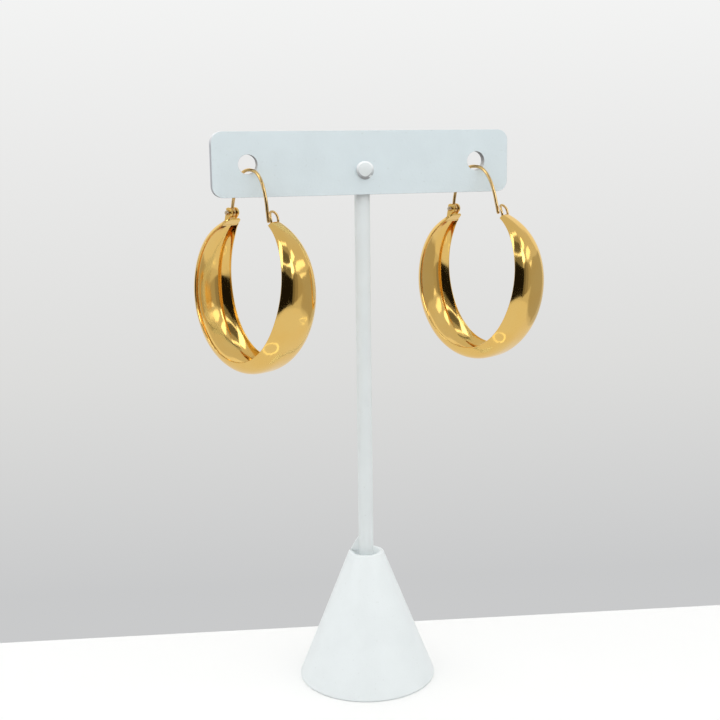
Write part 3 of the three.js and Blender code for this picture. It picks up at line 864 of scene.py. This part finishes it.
# Name, brightness, tint, then the lower and the upper line of each panel as (azimuth, elevation) in degrees
PANELS = [
    ("dark_opening", 0.012, (1, 0.85, 0.7),
     [(-56, -14), (-30, -16), (0, -18), (38, -20)], [(-56, 15), (-24, 20), (8, 16), (38, 11)]),
    ("dim_side", 0.2, (1, 0.93, 0.8), [(38, -21), (44, -21), (52, -19)], [(38, 11), (44, 16), (52, 17)]),
    ("dim_corner", 0.31, (1, 0.93, 0.82), [(52, -19), (60, -18), (68, -16)],
     [(52, 17), (60, 17), (68, 14)]),
    ("dim_wall", 0.44, (1, 0.95, 0.86), [(68, -16), (76, -14), (84, -10)], [(68, 14), (76, 13), (84, 8)]),
    ("dim_sill", 0.22, (1, 0.97, 0.85), [(-42, 18), (-24, 20), (8, 16), (30, 13)],
     [(-40, 23), (-20, 27), (8, 28), (30, 28)]),
    ("ring_foot", 2.2, (1, 1, 1), [(-40, 25), (-20, 27.5), (8, 28.5), (32, 28)],
     [(-40, 26.5), (-20, 29), (8, 31), (32, 34)]),
    ("tube_left", 1.6, (1, 1, 0.95), [(-50, 14.5), (-30, 15.5)], [(-50, 16), (-30, 17)]),
    ("tube_right", 1.6, (1, 1, 0.95), [(4, 16), (25, 15.5)], [(4, 17.5), (25, 17)]),
    ("ring_left", 2.4, (1, 1, 1), [(-62, 21), (-40, 20)], [(-56, 50), (-28, 58)]),
    ("ring_right", 2.6, (1, 1, 1), [(30, 20), (40, 17), (53, 20)], [(30, 33), (40, 40), (50, 37)]),
    ("ring_shoulder", 2.0, (1, 1, 0.98), [(50, 34), (66, 34), (80, 37)],
     [(50, 42), (66, 49), (80, 49)]),
    ("ring_top", 1.7, (1, 1, 1), [(-32, 57), (-16, 58), (8, 63), (52, 62)],
     [(-32, 62), (-16, 65), (8, 68), (52, 69)]),
    ("ring_centre", 0.15, (1, 0.98, 0.9), [(-38, 28), (-10, 31), (10, 33), (30, 35)],
     [(-27, 48), (-8, 50), (16, 50), (34, 48)]),
    ("ring_haze", 0.42, (1, 0.98, 0.92), [(-27, 48), (-8, 50), (16, 50), (50, 43)],
     [(-27, 57), (-8, 59), (16, 62), (50, 61)]),
    ("dim_wing", 0.46, (1, 0.97, 0.92), [(84, -22), (96, -28), (120, -32)], [(84, 8), (96, 14), (120, 14)]),
    ("side_window", 1.6, (1, 1, 0.97), [(66, 18), (80, 16), (96, 20)],
     [(66, 25), (80, 29), (96, 27)]),
    ("side_lamp", 1.3, (1, 1, 0.97), [(76, 2), (90, -3)], [(76, 12), (92, 12)]),
    ("table_glow", 0.8, (1, 0.99, 0.97),
     [(-180, -89), (-110, -89), (-60, -89), (0, -89), (40, -89), (84, -89), (98, -89), (122, -89), (150, -89),
      (180, -89)],
     [(-180, -9), (-110, -12), (-60, -17), (0, -20), (40, -24), (84, -25), (98, -31), (122, -34), (150, -16),
      (180, -9)]),
]

# Soft light from above for the paint: azimuths and elevations in degrees
CEILING_AZIMUTHS = (-110, 0, 110)
CEILING_HEIGHTS = (30, 88)
CEILING_BRIGHTNESS = 1.6

# Rings of light near the table, each with the place in mm that it is seen from, its inner and its
# outer line as (azimuth, elevation) in degrees
GLINT_RADIUS = 0.025
GLINT_BRIGHTNESS = 1.3
GLINT_TINT = (1, 1, 0.85)
GLINTS = [
    ("left_ring_glint", (-28.0, -15.4, 92.3),
     [(4, -61), (27, -68), (34, -73), (11, -77), (-31, -73), (-54, -60), (-64, -47), (-68, -37), (-67, -33),
      (-60, -34), (-45, -41), (-22, -52), (4, -61)],
     [(20, -61), (52, -67), (70, -72), (54, -80), (-31, -79), (-59, -62), (-69, -45), (-73, -34), (-74, -28),
      (-65, -30), (-47, -38), (-17, -51), (20, -61)]),
    ("right_ring_glint", (30.4, -15.8, 91.3),
     [(-12, -58), (13, -67), (36, -73), (39, -77), (-1, -77), (-35, -70), (-50, -56), (-56, -45), (-59, -38),
      (-55, -37), (-47, -40), (-32, -48), (-12, -58)],
     [(-4, -58), (35, -67), (68, -71), (82, -75), (57, -82), (-38, -74), (-55, -57), (-62, -42), (-66, -34),
      (-62, -34), (-51, -36), (-32, -46), (-4, -58)]),
]


def make_studio():
    """White tent walls with an open, dark front, a ring lamp over the opening and lamps to the right."""
    for name, brightness, tint, lower, upper in PANELS:
        studio_panel(name, lower, upper, brightness, tint)
    for name, place, inner, outer in GLINTS:
        studio_panel(name, inner, outer, GLINT_BRIGHTNESS, GLINT_TINT, centre=Vector(place) * MM,
                     radius=GLINT_RADIUS)
    lower, upper = ([(azimuth, elevation) for azimuth in CEILING_AZIMUTHS] for elevation in CEILING_HEIGHTS)
    studio_panel("soft_ceiling", lower, upper, CEILING_BRIGHTNESS, lights_paint=True)
    world = bpy.data.worlds.new("tent_walls")
    bpy.context.scene.world = world
    world.use_nodes = True
    walls = world.node_tree.nodes["Background"]
    walls.inputs["Color"].default_value = (1.0, 0.995, 0.99, 1)
    walls.inputs["Strength"].default_value = ROOM_LIGHT


make_table()
make_backdrop()
make_studio()
bpy.context.scene.view_settings.view_transform = "Standard"
